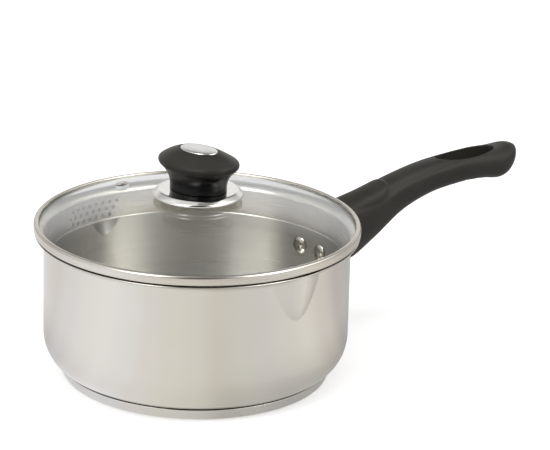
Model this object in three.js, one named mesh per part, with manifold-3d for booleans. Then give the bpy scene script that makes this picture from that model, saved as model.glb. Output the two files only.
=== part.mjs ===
// An 18 cm stainless saucepan with two pressed pour spouts, and its glass lid, whose rolled
// steel rim carries a perforated skirt. Turning the lid brings the strainer to the spouts.
// Millimetres, +Z up. The origin is the centre of the base's underside, the handle runs along
// +X and the spouts face +Y and -Y.
import * as THREE from 'three';
import { mergeVertices } from 'three/addons/utils/BufferGeometryUtils.js';
import Module from 'manifold-3d';

const wasm = await Module();
wasm.setup();

// ---- Driving dimensions ----

const clearance = 0.3; // between two pieces that touch on the real pan

const pot = {
  innerDiameter: 180,
  height: 86.4, // top of the lip above the table
  sheet: 0.6,
  cornerWidth: 16, // the bottom corner is a quarter ellipse
  cornerHeight: 20.5,
  lipOverhang: 5.4, // how far the flared lip stands outside the wall
  flareHeight: 5.5,
};

const spout = {
  depth: 4.6, // how far the channel is pressed out of the wall at its top
  width: 34, // measured round the wall at its top
  height: 28, // from the rounded tip to the lip
  slope: 0.6, // exponent of its depth against height: below 1 the tip is steep
};

const base = {
  capsuleSheet: 0.6,
  discThickness: 4,
  seamInset: 10.1, // the capsule's edge lies this far inside the pan's wall
  taper: 1,
  edgeRadius: 1.5,
  discGap: 1.2, // between the disc's edge and the capsule's wall, filled by braze
};

const rivet = {
  height: 56, // of the two rivets above the table
  spacing: 18.4,
  shankDiameter: 5,
  headDiameter: 11,
  headHeight: 2.2,
  tailDiameter: 8,
  tailHeight: 2.4,
};

const bracket = {
  sheet: 1.5,
  plateWidth: 26,
  plateBottom: 51,
  plateTop: 68,
  tangThickness: 2.5,
  tangWidth: 12,
  tangLength: 58,
  tangHeight: 63, // where it leaves the plate
  tangRise: 15.5, // how much higher its far end is
};

// Stations along the grip: how far out from the pan's wall, and the height of its top and
// bottom and its half width there.
const gripStations = {
  root: { out: 0, top: 73.6, bottom: 47.2, half: 17.2 },
  heel: { out: 13.5, top: 78.3, bottom: 45.8, half: 15.9 },
  neck: { out: 27.5, top: 82.7, bottom: 46.2, half: 14.4 },
  throat: { out: 45.6, top: 86.6, bottom: 54.2, half: 12.6 },
  bend: { out: 67.7, top: 91.2, bottom: 67, half: 11.4 },
  waist: { out: 91.8, top: 94.6, bottom: 74.3, half: 11.2 },
  palm: { out: 115.9, top: 95.5, bottom: 76.7, half: 12.1 },
  swell: { out: 138, top: 95.3, bottom: 76.1, half: 13.3 },
  shoulder: { out: 156.1, top: 94.1, bottom: 74, half: 14.8 },
  end: { out: 172.2, top: 95.4, bottom: 77.7, half: 15.6 },
};

const grip = {
  rootSquareness: 3.6, // exponents of the superellipse sections
  squareness: 2.4,
  rootLength: 40, // over which the squarer root blends into the rest
  rootInset: 3, // the grip starts inside the wall, where it is cut to fit
  endLift: 0.774, // how far up its end the tip lies: 0 at the bottom, 1 at the top
  endRounding: 23.1, // length of the rounded end seen from above
  topRounding: 9.8, // and seen from the side
  bottomRounding: 22.1,
  endFullness: 1.85,
  endSweep: 85, // degrees of the end's quarter turn that the side covers
  slotStart: 103.7, // measured out from the wall
  slotLength: 50,
  slotWidth: 17.4,
  slotDraft: 0.6, // how much narrower each side of the slot is at mid height
  panelLength: 57.4, // the thumb panel on top of the root
  panelHalfWidth: 10.8,
  panelTipLength: 12, // of its rounded tip
  panelFullness: 2.7,
  panelStep: 0.7,
};

const gripScrew = {
  out: 44, // from the wall
  shankDiameter: 4,
  headDiameter: 8,
  headHeight: 2.5,
  recessDepth: 5,
};

const lid = {
  turn: 10, // degrees that the lid stands turned from the pan's own axes
  rimOverhang: 0.4, // of the rim beyond the pan's lip
  strip: 0.5, // thickness of the rim's rolled strip
  skirtGap: 1.1, // between the skirt and the pan's wall
  skirtDepth: 18.1, // from the lip's top to the skirt's lower edge
  neckWidth: 4.5, // of the curve that joins the skirt to the lower leg
  neckHeight: 3.3,
  legRise: 0.5, // the lower leg stands this much higher at its outer end
  webRadius: 1.6, // of the rim's outer corners
  crestWidth: 3.2, // from the rim's outside to its inner edge
  hemDrop: 1.1, // the inner edge turns down by this much
  hemRadius: 0.8,
};

const strainer = {
  holeDiameter: 2.4,
  pitch: 5.35, // round the skirt
  turn: -2.7, // degrees that the holes stand turned from the lid's own axis
  rows: {
    upper: { height: 11.5, count: 8, shift: 0 }, // above the skirt's edge; shift in pitches
    middle: { height: 7.5, count: 8, shift: 0.5 },
    lower: { height: 3.3, count: 7, shift: 0.5 },
  },
};

const glass = {
  thickness: 3,
  edgeGap: 1.3, // from its edge to the rim's web, where the seal lies
  rise: 17.4, // of the dome above its edge
  knobHoleDiameter: 9,
};

const seal = {
  thickness: 0.6,
};

const vent = {
  radius: 61, // from the lid's axis
  tubeDiameter: 5,
  bore: 3,
  flangeDiameter: 8,
  flangeThickness: 0.7,
  washerDiameter: 8.4,
  washerThickness: 0.8,
};

const plate = {
  overhang: 0.3, // beyond the knob's head at each of its ends
  thickness: 0.8,
  bevelWidth: 3.5,
  bevelDrop: 1.9,
  lipHeight: 0.7, // of its upright edge
};

const gasket = {
  upperDiameter: 24,
  upperThickness: 3.1,
  lowerDiameter: 18,
  lowerThickness: 0.7,
};

const knob = {
  footLength: 36, // the oval's long axes, along the lid's Y
  neckLength: 37.4, // where the neck's curve is steered to the head
  headLength: 52.8,
  footRatio: 0.84, // short axis to long axis
  neckRatio: 0.78,
  headRatio: 0.77,
  footHeight: 2, // of its straight lower end
  neckHeight: 9.2,
  equatorHeight: 16.1,
  edgeRound: 1.6, // above and below the equator
  edgeTuck: 0.6, // how far the section is drawn in there
  domeReach: 0.76, // of the head's half length, where the dome turns over
  domeDrop: 1.8,
  shoulderHeight: 23.7,
  capLength: 25.5,
  capRatio: 0.66,
  capDepth: 1.6,
  capEdge: 0.3,
  capCrown: 0.7,
};

const insert = {
  diameter: 9,
  length: 11,
};

const knobScrew = {
  shankDiameter: 5,
  headDiameter: 9.5,
  headHeight: 2.4,
  reach: 10, // into the insert
};

const washer = {
  diameter: 14,
  thickness: 1,
};

const roundSteps = 52; // segments round the large turned pieces
const shellSteps = 56;
const knobSteps = 36;
const smallSteps = 16;
const spoutCrowding = 0.6; // draws the shell's segments together at the spouts
const spoutFocus = 0.2; // and draws them tighter still right at the spouts
const shellRows = [0, 0.06, 0.16, 0.32, 0.55, 0.8]; // of its wall, from the spouts' tip up
const gripSides = 28;
const gripRows = 23;
const gripEndRows = 7;
const hair = 1e-6; // lengths under this are rounding errors

// ---- Materials ----

function metal(color, roughness) {
  return new THREE.MeshStandardMaterial({ color, roughness, metalness: 1 });
}

function plastic(color, roughness) {
  return new THREE.MeshStandardMaterial({ color, roughness, metalness: 0 });
}

const polishedSteel = metal(0xd6d2cc, 0.12);
const brushedSteel = metal(0xc4c2bd, 0.32);
const chrome = metal(0xe4e2df, 0.06);
const aluminium = metal(0xbfc1c3, 0.45);
const brass = metal(0xb99a55, 0.35);
const blackPhenolic = plastic(0x2c2b29, 0.55);
const clearSilicone = plastic(0xb9bab4, 0.5);
const clearGlass = new THREE.MeshStandardMaterial({
  color: 0xdfe7e3,
  roughness: 0.03,
  metalness: 0,
  transparent: true,
  opacity: 0.3,
});

// ---- Helpers ----

const point = (x, y) => new THREE.Vector2(x, y);
const radians = THREE.MathUtils.degToRad;

// Turns a closed half section, given as radius and height, about the Z axis.
function revolve(section, steps = roundSteps) {
  const clean = section.map((p) => (Math.abs(p.x) < hair ? point(0, p.y) : p));
  const ordered = THREE.ShapeUtils.area(clean) < 0 ? clean.reverse() : clean;
  const onAxis = ordered.some((p) => p.x === 0);
  const start = onAxis ? ordered.findIndex((p, i) => p.x === 0 && ordered.at(i - 1).x === 0) : 0;
  const turned = [...ordered.slice(start), ...ordered.slice(0, start)];
  if (!onAxis) turned.push(turned[0]);
  const geometry = new THREE.LatheGeometry(turned, steps);
  return geometry.rotateX(Math.PI / 2);
}

// A disc, tube or washer from one height to another.
function ring(innerRadius, outerRadius, low, high, steps = 20) {
  const section = [
    point(innerRadius, low),
    point(outerRadius, low),
    point(outerRadius, high),
    point(innerRadius, high),
  ];
  return revolve(section, steps);
}

// Points of a quarter ellipse from one angle to another, in degrees.
function arc(centreX, centreY, radiusX, radiusY, from, to, steps) {
  const curve = new THREE.EllipseCurve(
    centreX,
    centreY,
    radiusX,
    radiusY,
    radians(from),
    radians(to),
    to < from,
  );
  return curve.getPoints(steps);
}

// Gives an open line a thickness: the line is one face of the sheet, and the other lies to
// its left.
function sheetSection(line, thickness) {
  const other = line.map((p, i) => {
    const before = line[Math.max(i - 1, 0)];
    const after = line[Math.min(i + 1, line.length - 1)];
    const into = p.clone().sub(before).normalize();
    const away = after.clone().sub(p).normalize();
    const along = into.add(away).normalize();
    const half = i > 0 && i < line.length - 1 ? Math.max(along.dot(away), 0.5) : 1;
    return point(p.x - (along.y * thickness) / half, p.y + (along.x * thickness) / half);
  });
  return [...line, ...other.reverse()];
}

function toSolid(geometry) {
  const bare = geometry.clone();
  bare.deleteAttribute('normal');
  bare.deleteAttribute('uv');
  const merged = mergeVertices(bare, 1e-4);
  const mesh = new wasm.Mesh({
    numProp: 3,
    vertProperties: merged.attributes.position.array,
    triVerts: new Uint32Array(merged.index.array),
  });
  return new wasm.Manifold(mesh);
}

function toGeometry(solid) {
  const { vertProperties, triVerts } = solid.getMesh();
  const geometry = new THREE.BufferGeometry();
  geometry.setAttribute('position', new THREE.BufferAttribute(vertProperties, 3));
  geometry.setIndex(new THREE.BufferAttribute(triVerts, 1));
  geometry.computeVertexNormals();
  return geometry;
}

function cut(geometry, tools) {
  const solid = tools.reduce((left, tool) => left.subtract(toSolid(tool)), toSolid(geometry));
  return toGeometry(solid);
}

function join(first, second) {
  return toGeometry(toSolid(first).add(toSolid(second)));
}

function overlap(first, second) {
  return toGeometry(toSolid(first).intersect(toSolid(second)));
}

// A round bar along Z between two heights.
function bar(diameter, low, high, steps = smallSteps) {
  const cylinder = new THREE.CylinderGeometry(diameter / 2, diameter / 2, high - low, steps);
  return cylinder.rotateX(Math.PI / 2).translate(0, 0, (low + high) / 2);
}

// Moves every point of a geometry.
function reshape(geometry, move) {
  const position = geometry.attributes.position;
  const p = new THREE.Vector3();
  for (let i = 0; i < position.count; i += 1) {
    p.fromBufferAttribute(position, i);
    move(p);
    position.setXYZ(i, p.x, p.y, p.z);
  }
  return geometry;
}

// Rises smoothly from 0 to 1 between two values.
const ease = (value, low, high) => THREE.MathUtils.smoothstep(value, low, high);

function named(name, geometry, material) {
  const mesh = new THREE.Mesh(geometry, material);
  mesh.name = name;
  return mesh;
}

// ---- Sizes that follow from the driving ones ----

const wallInner = pot.innerDiameter / 2;
const wallOuter = wallInner + pot.sheet;
const lipRadius = wallOuter + pot.lipOverhang;
const flareStart = pot.height - pot.flareHeight;
const discBottom = base.capsuleSheet + clearance;
const discTop = discBottom + base.discThickness;
const potUnderside = discTop + clearance;
const flatRadius = wallOuter - pot.cornerWidth;
const spoutTip = pot.height - spout.height;
const rivetAngle = rivet.spacing / 2 / wallOuter;
const gripEnd = gripStations.end.out;
const gripTipHeight = THREE.MathUtils.lerp(
  gripStations.end.bottom,
  gripStations.end.top,
  grip.endLift,
);

// Height of the rounded bottom corner's outside at a given radius.
function cornerHeightAt(radius) {
  const across = Math.max(radius - flatRadius, 0) / pot.cornerWidth;
  return potUnderside + pot.cornerHeight * (1 - Math.sqrt(1 - across * across));
}

const rimOuter = lipRadius + lid.rimOverhang;
const skirtRadius = wallInner - lid.skirtGap;
const skirtBottom = pot.height - lid.skirtDepth;
const legBottom = pot.height + clearance;
const glassRadius = rimOuter - lid.strip - glass.edgeGap;
const webBottom = legBottom + lid.legRise;
const glassSeat = webBottom + lid.strip + clearance;
const innerSphere = (glassRadius ** 2 + glass.rise ** 2) / (2 * glass.rise);
const sphereCentre = glassSeat + glass.rise - innerSphere;
const outerSphere = innerSphere + glass.thickness;
const glassTopAt = (radius) => sphereCentre + Math.sqrt(outerSphere ** 2 - radius ** 2);
const glassUnderAt = (radius) => sphereCentre + Math.sqrt(innerSphere ** 2 - radius ** 2);
const rimInner = rimOuter - lid.crestWidth;
const hemBottom = glassTopAt(rimInner) + clearance;
const crest = hemBottom + lid.hemDrop;

const gasketBottom = glassTopAt(0) + clearance;
const plateBottom = gasketBottom + gasket.upperThickness + clearance;
const footBottom = plateBottom + plate.thickness + clearance;
const lowerGasketTop = glassUnderAt(0) - clearance;
const washerTop = lowerGasketTop - gasket.lowerThickness - clearance;
const screwHeadTop = washerTop - washer.thickness - clearance;
const boltHole = knobScrew.shankDiameter / 2 + clearance;
const plateRadius = knob.headLength / 2 + plate.overhang;

// ---- Pan ----

// Presses the two spouts out of the wall. A spout is a channel that widens and deepens from
// its rounded tip up to the lip, which itself stays round.
function pressSpouts(p) {
  const radius = Math.hypot(p.x, p.y);
  const up = Math.min((p.z - spoutTip) / (flareStart - spoutTip), 1);
  if (up <= 0 || radius < flatRadius) return;
  const angle = Math.atan2(Math.abs(p.x), Math.abs(p.y));
  const half = (spout.width / 2) * Math.sqrt(up);
  const across = Math.min((angle * wallOuter) / half, 1);
  const flared = Math.max(p.z - flareStart, 0) / pot.flareHeight;
  const depth = spout.depth * up ** spout.slope * (1 - across ** 2) * (1 - flared);
  p.x *= (radius + depth) / radius;
  p.y *= (radius + depth) / radius;
}

// Turns each point about the axis so that the segments crowd at the two spouts.
function crowdAtSpouts(p) {
  const radius = Math.hypot(p.x, p.y);
  const angle = Math.atan2(p.y, p.x);
  const crowding = (spoutCrowding / 2) * Math.sin(2 * angle);
  const focus = (spoutFocus / 4) * Math.sin(4 * angle);
  const moved = angle + crowding - focus;
  p.x = radius * Math.cos(moved);
  p.y = radius * Math.sin(moved);
}

// Cylinders along the axes of the two rivets.
function rivetBars(diameter) {
  return [-1, 1].map((side) => {
    const drill = bar(diameter, -rivet.headDiameter, rivet.headDiameter);
    drill.rotateY(Math.PI / 2).translate(wallOuter, 0, rivet.height);
    return drill.rotateZ(side * rivetAngle);
  });
}

function potShell() {
  const floor = potUnderside + pot.sheet;
  const cornerRise = pot.cornerHeight - pot.sheet;
  const flare = lipRadius - wallInner;
  const flat = wallInner - pot.cornerWidth;
  const line = [
    point(0, floor),
    ...arc(flat, floor + cornerRise, pot.cornerWidth, cornerRise, 270, 360, 5),
    ...shellRows.map((up) => point(wallInner, THREE.MathUtils.lerp(spoutTip, flareStart, up))),
    ...arc(lipRadius, flareStart, flare, pot.flareHeight, 180, 90, 3),
  ];
  const section = sheetSection(line.reverse(), pot.sheet);
  const shell = reshape(revolve(section, shellSteps), (p) => {
    crowdAtSpouts(p);
    pressSpouts(p);
  });
  return cut(shell, rivetBars(rivet.shankDiameter + 2 * clearance));
}

function baseCapsule() {
  const seamRadius = wallOuter - base.seamInset;
  const bottomRadius = seamRadius - base.taper;
  const seam = cornerHeightAt(seamRadius - base.capsuleSheet) - clearance;
  const round = base.edgeRadius;
  const line = [
    point(0, 0),
    ...arc(bottomRadius - round, round, round, round, 270, 360, 2),
    point(seamRadius, seam),
  ];
  return revolve(sheetSection(line, base.capsuleSheet));
}

function heatDisc() {
  const radius = wallOuter - base.seamInset - base.taper - base.capsuleSheet - base.discGap;
  return bar(2 * radius, discBottom, discTop, roundSteps);
}

// A solid rivet along Z, its inside head facing down, with the wall's inner face at height 0.
function rivetBody() {
  const headSag = rivet.headDiameter ** 2 / (8 * wallInner);
  const seat = -clearance - headSag;
  const tailSeat = pot.sheet + clearance + bracket.sheet + clearance;
  const shank = rivet.shankDiameter / 2;
  const section = [
    ...arc(0, seat, rivet.headDiameter / 2, rivet.headHeight, 270, 360, 4),
    point(shank, seat),
    point(shank, tailSeat),
    ...arc(0, tailSeat, rivet.tailDiameter / 2, rivet.tailHeight, 0, 90, 3),
  ];
  return revolve(section, smallSteps);
}

function rivets() {
  const sides = { handle_rivet_left: 1, handle_rivet_right: -1 };
  return Object.entries(sides).map(([name, side]) => {
    const holder = new THREE.Group();
    const mesh = named(name, rivetBody(), polishedSteel);
    mesh.rotation.y = Math.PI / 2;
    mesh.position.set(wallInner, 0, rivet.height);
    holder.rotation.z = side * rivetAngle;
    holder.add(mesh);
    return holder;
  });
}

// The bar that the grip slides over: a sloping strip of the given thickness and width.
function tangStrip(thickness, width, length) {
  const start = wallOuter + clearance + bracket.sheet / 2;
  const end = bracket.tangHeight + (bracket.tangRise * length) / bracket.tangLength;
  const shape = new THREE.Shape([
    point(start, bracket.tangHeight - thickness / 2),
    point(start + length, end - thickness / 2),
    point(start + length, end + thickness / 2),
    point(start, bracket.tangHeight + thickness / 2),
  ]);
  const strip = new THREE.ExtrudeGeometry(shape, { depth: width, bevelEnabled: false });
  return strip.rotateX(Math.PI / 2).translate(0, width / 2, 0);
}

// A block between two radii, curved like the pan's wall. Its width is measured at the wall.
function curvedBlock(inner, outer, width, low, high) {
  const half = width / 2 / wallOuter;
  const shape = new THREE.Shape();
  shape.absarc(0, 0, outer, -half, half, false);
  shape.absarc(0, 0, inner, half, -half, true);
  const block = new THREE.ExtrudeGeometry(shape, {
    depth: high - low,
    bevelEnabled: false,
    curveSegments: 5,
  });
  return block.translate(0, 0, low);
}

function gripScrewHole(diameter, low, high) {
  return bar(diameter, low, high).translate(wallOuter + gripScrew.out, 0, 0);
}

function handleBracket() {
  const inner = wallOuter + clearance;
  const { plateWidth, plateBottom: low, plateTop: high } = bracket;
  const flange = curvedBlock(inner, inner + bracket.sheet, plateWidth, low, high);
  const tang = tangStrip(bracket.tangThickness, bracket.tangWidth, bracket.tangLength);
  const drills = rivetBars(rivet.shankDiameter + 2 * clearance);
  const screwHole = gripScrewHole(gripScrew.shankDiameter + 2 * clearance, low, pot.height);
  return cut(join(flange, tang), [...drills, screwHole]);
}

// One value of the grip's stations at a distance from the wall, on a smooth curve through them.
function stationValue(key, out) {
  const stations = Object.values(gripStations);
  const last = stations.length - 1;
  const found = stations.findIndex((s) => s.out >= out);
  const upper = THREE.MathUtils.clamp(found < 0 ? last : found, 1, last);
  const slope = (i) => {
    const before = stations[Math.max(i - 1, 0)];
    const after = stations[Math.min(i + 1, last)];
    return (after[key] - before[key]) / (after.out - before.out);
  };
  const a = stations[upper - 1];
  const b = stations[upper];
  const span = b.out - a.out;
  const t = (out - a.out) / span;
  return (
    a[key] * (2 * t ** 3 - 3 * t ** 2 + 1) +
    b[key] * (3 * t ** 2 - 2 * t ** 3) +
    slope(upper - 1) * span * (t ** 3 - 2 * t ** 2 + t) +
    slope(upper) * span * (t ** 3 - t ** 2)
  );
}

// Point of the grip's skin at a distance from the wall and an angle round its section.
// Fraction 1 is on the skin and 0 on the centre line.
function gripPoint(out, angle, fraction) {
  const { lerp } = THREE.MathUtils;
  const fromEnd = (length) => Math.max((out - gripEnd + length) / length, 0);
  const fullness = grip.endFullness;
  const narrow = (1 - fromEnd(grip.endRounding) ** fullness) ** (1 / fullness);
  const flatTop = Math.sqrt(1 - fromEnd(grip.topRounding) ** 2);
  const flatBottom = Math.sqrt(1 - fromEnd(grip.bottomRounding) ** 2);
  const top = lerp(gripTipHeight, stationValue('top', out), flatTop);
  const bottom = lerp(gripTipHeight, stationValue('bottom', out), flatBottom);
  const half = stationValue('half', out) * narrow;
  const power = 2 / lerp(grip.rootSquareness, grip.squareness, ease(out, 0, grip.rootLength));
  const across = Math.sign(Math.cos(angle)) * Math.abs(Math.cos(angle)) ** power;
  const up = Math.sign(Math.sin(angle)) * Math.abs(Math.sin(angle)) ** power;
  const y = half * across * fraction;
  const z = (top + bottom) / 2 + ((top - bottom) / 2) * up * fraction;
  return new THREE.Vector3(wallOuter + out, y, z);
}

// The grip before it is cut: a round bar whose rows and columns are moved onto the skin.
function gripLoft() {
  const rows = gripRows + gripEndRows;
  const bodyLength = gripEnd - grip.endRounding;
  const blank = new THREE.CylinderGeometry(1, 1, 1, gripSides, rows);
  return reshape(blank, (p) => {
    const row = Math.round((p.y + 0.5) * rows);
    const swing = radians(grip.endSweep) * Math.max((row - gripRows) / gripEndRows, 0);
    const body = (bodyLength * Math.min(row, gripRows)) / gripRows;
    const out = body + grip.endRounding * Math.sin(swing);
    p.copy(gripPoint(out, Math.atan2(p.x, p.z), Math.hypot(p.x, p.z)));
    if (row === 0) p.x -= grip.rootInset;
  });
}

// The thumb panel: the grip's own shape, raised a little inside a tongue-shaped outline.
function thumbPanel() {
  const steps = 10;
  const straight = grip.panelLength - grip.panelTipLength;
  const side = (turn) => {
    const along = Math.abs(Math.cos(turn)) ** (2 / grip.panelFullness);
    const across = Math.sign(Math.sin(turn)) * Math.abs(Math.sin(turn)) ** (2 / grip.panelFullness);
    return point(wallOuter + straight + grip.panelTipLength * along, grip.panelHalfWidth * across);
  };
  const outline = [point(wallInner, -grip.panelHalfWidth)];
  for (let i = 0; i <= steps; i += 1) {
    outline.push(side(Math.PI * (i / steps - 0.5)));
  }
  outline.push(point(wallInner, grip.panelHalfWidth));
  const prism = new THREE.ExtrudeGeometry(new THREE.Shape(outline), {
    depth: pot.height,
    bevelEnabled: false,
  });
  prism.translate(0, 0, bracket.plateTop);
  return overlap(gripLoft().translate(0, 0, grip.panelStep), prism);
}

// The hanging slot: an ellipse whose walls lean together from both faces to mid height.
function slotCutter() {
  const out = grip.slotStart + grip.slotLength / 2;
  const top = stationValue('top', out);
  const bottom = stationValue('bottom', out);
  const reach = top - bottom;
  const blank = new THREE.CylinderGeometry(1, 1, 2 * reach, gripSides, 4);
  blank.rotateX(Math.PI / 2);
  return reshape(blank, (p) => {
    const draft = grip.slotDraft * (1 - Math.abs(p.z) / (reach / 2));
    p.x = wallOuter + out + p.x * (grip.slotLength / 2 - draft);
    p.y *= grip.slotWidth / 2 - draft;
    p.z += (top + bottom) / 2;
  });
}

function handleGrip() {
  const wallCutter = bar(2 * (wallOuter + clearance), 0, 2 * pot.height, 2 * roundSteps);
  const pocketReach = bracket.sheet + 2 * clearance + rivet.tailHeight + clearance;
  const pocket = curvedBlock(
    wallInner,
    wallOuter + clearance + pocketReach,
    bracket.plateWidth + 2 * clearance,
    bracket.plateBottom - clearance,
    bracket.plateTop + clearance,
  );
  const tangSlot = tangStrip(
    bracket.tangThickness + 2 * clearance,
    bracket.tangWidth + 2 * clearance,
    bracket.tangLength + clearance,
  );
  const low = stationValue('bottom', gripScrew.out);
  const shank = gripScrew.shankDiameter + 2 * clearance;
  const head = gripScrew.headDiameter + 2 * clearance;
  const tools = [
    wallCutter,
    pocket,
    tangSlot,
    slotCutter(),
    gripScrewHole(shank, low - gripScrew.headDiameter, screwTop() + clearance),
    gripScrewHole(head, low - gripScrew.headDiameter, low + gripScrew.recessDepth),
  ];
  return cut(join(gripLoft(), thumbPanel()), tools);
}

// The grip's screw ends a little above the tang.
function screwTop() {
  const along = gripScrew.out / bracket.tangLength;
  return bracket.tangHeight + bracket.tangRise * along + 2 * bracket.tangThickness;
}

function handleScrew() {
  const seat = stationValue('bottom', gripScrew.out) + gripScrew.recessDepth - clearance;
  const shank = gripScrew.shankDiameter / 2;
  const head = gripScrew.headDiameter / 2;
  const section = [
    point(0, seat - gripScrew.headHeight),
    point(head - clearance, seat - gripScrew.headHeight),
    point(head, seat - gripScrew.headHeight + clearance),
    point(head, seat),
    point(shank, seat),
    point(shank, screwTop()),
    point(0, screwTop()),
  ];
  return revolve(section, smallSteps).translate(wallOuter + gripScrew.out, 0, 0);
}

// ---- Lid ----

// The rim's strip, from the skirt's lower edge up, round the glass and back over it. The line
// is the strip's outside.
function rimLine() {
  const corner = lid.webRadius;
  const hem = lid.hemRadius;
  const neckEnd = skirtRadius + lid.neckWidth;
  return [
    point(skirtRadius, skirtBottom),
    ...arc(neckEnd, legBottom - lid.neckHeight, lid.neckWidth, lid.neckHeight, 180, 90, 3),
    ...arc(rimOuter - corner, webBottom + corner, corner, corner, 270, 360, 2),
    ...arc(rimOuter - corner, crest - corner, corner, corner, 0, 90, 2),
    ...arc(rimInner + hem, crest - hem, hem, hem, 90, 180, 2),
    point(rimInner, hemBottom),
  ];
}

function strainerDrills() {
  const drills = [];
  const step = strainer.pitch / skirtRadius;
  for (const facing of [90, 270]) {
    for (const { height, count, shift } of Object.values(strainer.rows)) {
      for (let i = 0; i < count; i += 1) {
        const drill = bar(strainer.holeDiameter, -2 * lid.strip, 2 * lid.strip, 8);
        drill.rotateY(Math.PI / 2).translate(skirtRadius, 0, skirtBottom + height);
        const turn = radians(facing + strainer.turn) + (i - (count - 1) / 2 + shift) * step;
        drills.push(drill.rotateZ(turn));
      }
    }
  }
  return drills;
}

function lidRim() {
  return cut(revolve(sheetSection(rimLine(), lid.strip)), strainerDrills());
}

// The seal lines the rim's inside: a wall round the glass's edge and a lip over it.
function glassEdgeSeal() {
  const outer = rimOuter - lid.strip - clearance;
  const inner = outer - seal.thickness;
  const top = crest - lid.strip - clearance;
  const lipInner = rimInner + lid.strip + clearance;
  const lipUnder = Math.min(glassTopAt(lipInner) + clearance, top - seal.thickness / 2);
  const toe = lid.webRadius - lid.strip - clearance;
  const section = [
    point(inner, glassSeat),
    point(outer, glassSeat + toe),
    point(outer, top - toe),
    point(inner, top),
    point(lipInner, top),
    point(lipInner, lipUnder),
    point(inner, lipUnder),
  ];
  return revolve(section);
}

function lidGlass() {
  const hole = glass.knobHoleDiameter / 2;
  const steps = 5;
  const upper = [];
  const under = [];
  for (let i = 0; i <= steps; i += 1) {
    const radius = hole + ((glassRadius - hole) * i) / steps;
    upper.push(point(radius, glassTopAt(radius)));
    under.push(point(radius, glassUnderAt(radius)));
  }
  const dome = revolve([...under, ...upper.reverse()]);
  const drill = bar(vent.tubeDiameter + 2 * clearance, -2 * glass.thickness, glass.thickness);
  return cut(dome, [standOnGlass(drill)]);
}

// Stands a piece on the glass where the steam vent is, square to the dome. The piece has the
// glass's outside at height 0.
function standOnGlass(geometry) {
  const tilt = Math.asin(vent.radius / outerSphere);
  return geometry.rotateX(-tilt).translate(0, vent.radius, glassTopAt(vent.radius));
}

function ventEyelet() {
  const tube = vent.tubeDiameter / 2;
  const bore = vent.bore / 2;
  const flange = vent.flangeDiameter / 2;
  const thick = vent.flangeThickness;
  const washerUnder = -glass.thickness - 2 * clearance - vent.washerThickness;
  const tail = (tube + flange) / 2;
  const section = [
    point(bore, washerUnder - clearance - thick),
    point(tail, washerUnder - clearance - thick),
    point(tail, washerUnder - clearance),
    point(tube, washerUnder - clearance),
    point(tube, clearance),
    point(flange, clearance),
    point(flange, clearance + thick / 2),
    point(flange - thick, clearance + thick),
    point(bore, clearance + thick),
  ];
  return standOnGlass(revolve(section, smallSteps));
}

function ventWasher() {
  const top = -glass.thickness - clearance;
  const hole = vent.tubeDiameter / 2 + clearance;
  const outer = vent.washerDiameter / 2;
  return standOnGlass(ring(hole, outer, top - vent.washerThickness, top, smallSteps));
}

// The chrome plate: flat under the knob, then a bevel down to its short upright edge.
function knobPlate() {
  const inside = plateRadius - plate.thickness;
  const bevelBottom = plateBottom - plate.bevelDrop;
  const line = [
    point(boltHole, plateBottom),
    point(plateRadius - plate.bevelWidth, plateBottom),
    point(inside, bevelBottom),
    point(inside, bevelBottom - plate.lipHeight),
  ];
  return revolve(sheetSection(line, plate.thickness), knobSteps);
}

// Makes a turned piece oval: its short axis lies along X, and the ratio of the axes changes
// with height.
function makeOval(geometry, ratioAt) {
  return reshape(geometry, (p) => {
    p.x *= ratioAt(p.z);
  });
}

function knobRatio(z) {
  const neck = footBottom + knob.neckHeight;
  const equator = footBottom + knob.equatorHeight;
  const shoulder = footBottom + knob.shoulderHeight;
  const lower = THREE.MathUtils.lerp(knob.footRatio, knob.neckRatio, ease(z, footBottom, neck));
  const head = THREE.MathUtils.lerp(lower, knob.headRatio, ease(z, neck, equator));
  return THREE.MathUtils.lerp(head, knob.capRatio, ease(z, equator, shoulder));
}

function knobBody() {
  const at = (height) => footBottom + height;
  const foot = knob.footLength / 2;
  const head = knob.headLength / 2;
  const capEdge = knob.capLength / 2 + clearance;
  const neck = new THREE.QuadraticBezierCurve(
    point(foot, at(knob.footHeight)),
    point(knob.neckLength / 2, at(knob.neckHeight)),
    point(head - knob.edgeTuck, at(knob.equatorHeight - knob.edgeRound)),
  );
  const dome = new THREE.QuadraticBezierCurve(
    point(head - knob.edgeTuck, at(knob.equatorHeight + knob.edgeRound)),
    point(head * knob.domeReach, at(knob.shoulderHeight - knob.domeDrop)),
    point(capEdge + knob.capEdge, at(knob.shoulderHeight)),
  );
  const section = [
    point(0, footBottom),
    point(foot, footBottom),
    ...neck.getPoints(4),
    point(head, at(knob.equatorHeight)),
    ...dome.getPoints(4),
    point(capEdge, at(knob.shoulderHeight - knob.capDepth)),
    point(0, at(knob.shoulderHeight - knob.capDepth)),
  ];
  const pocket = bar(insert.diameter + 2 * clearance, 0, at(insert.length) + 2 * clearance);
  return cut(makeOval(revolve(section, knobSteps), knobRatio), [pocket]);
}

function knobCap() {
  const bottom = footBottom + knob.shoulderHeight - knob.capDepth + clearance;
  const edge = footBottom + knob.shoulderHeight;
  const half = knob.capLength / 2;
  const section = [
    point(0, bottom),
    point(half, bottom),
    point(half, edge - knob.capEdge),
    ...arc(0, edge, half - knob.capEdge, knob.capCrown, 0, 90, 4),
  ];
  return makeOval(revolve(section, knobSteps), () => knob.capRatio);
}

function knobInsert() {
  const bottom = footBottom + clearance;
  return ring(boltHole, insert.diameter / 2, bottom, bottom + insert.length, smallSteps);
}

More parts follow.
